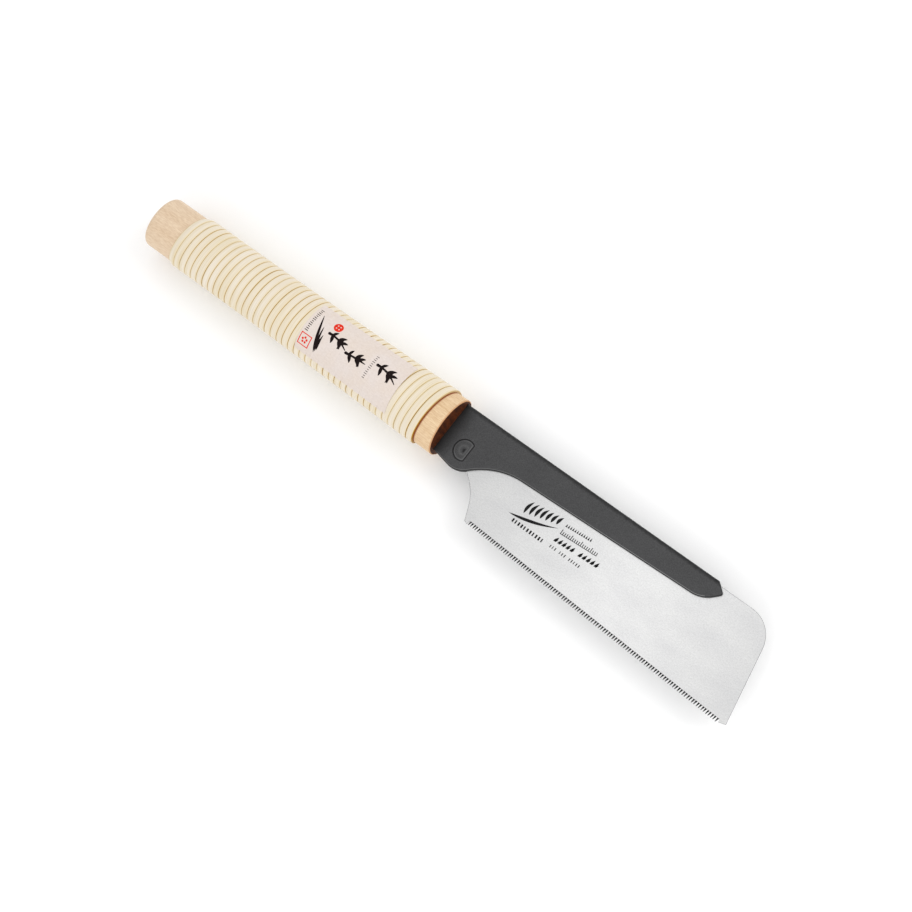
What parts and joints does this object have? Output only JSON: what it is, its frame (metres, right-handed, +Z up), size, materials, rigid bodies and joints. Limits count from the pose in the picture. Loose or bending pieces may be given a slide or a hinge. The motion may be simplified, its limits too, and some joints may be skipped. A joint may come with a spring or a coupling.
{
  "type": "hand saw",
  "caption": "Japanese-style pull saw with a thin replaceable blade, a folded steel back and a long oval wooden handle bound with cane strip.",
  "frame": {"origin": "middle of the base of the saw's box as it lies on its side; the blade's mid plane is 13.78 mm above it", "axes": "+X along the saw towards the blade's toe, +Y in the blade's plane towards the steel back, +Z up, out of the label"},
  "size_m": [0.3874, 0.0548, 0.0275],
  "materials": {
    "wood": "bare, fine straight grain, stained brown on the front face",
    "cane": "smooth peeled cane with a soft sheen",
    "paper": "matt paper glued over the wrap",
    "back_steel": "dark grey satin coating",
    "stud_steel": "dark grey satin, flush staked head",
    "blade_steel": "fine brushed plate with darkened tooth tips",
    "pin_steel": "plain drawn wire"
  },
  "bodies": {
    "holder": {"handle_half_upper": "wood", "handle_half_lower": "wood", "tang_pins": "pin_steel", "wrap_strip_a": "cane", "wrap_strip_b": "cane", "label": "paper", "back": "back_steel", "hook_stud": "stud_steel"},
    "blade": {"blade": "blade_steel"}
  },
  "joints": [
    {"name": "blade_swing", "type": "hinge", "parent": "holder", "child": "blade", "pos_m": [0.0132, 0.00544, 0.01379], "axis": [0, 0, -1], "range_deg": [0, 25]}
  ]
}
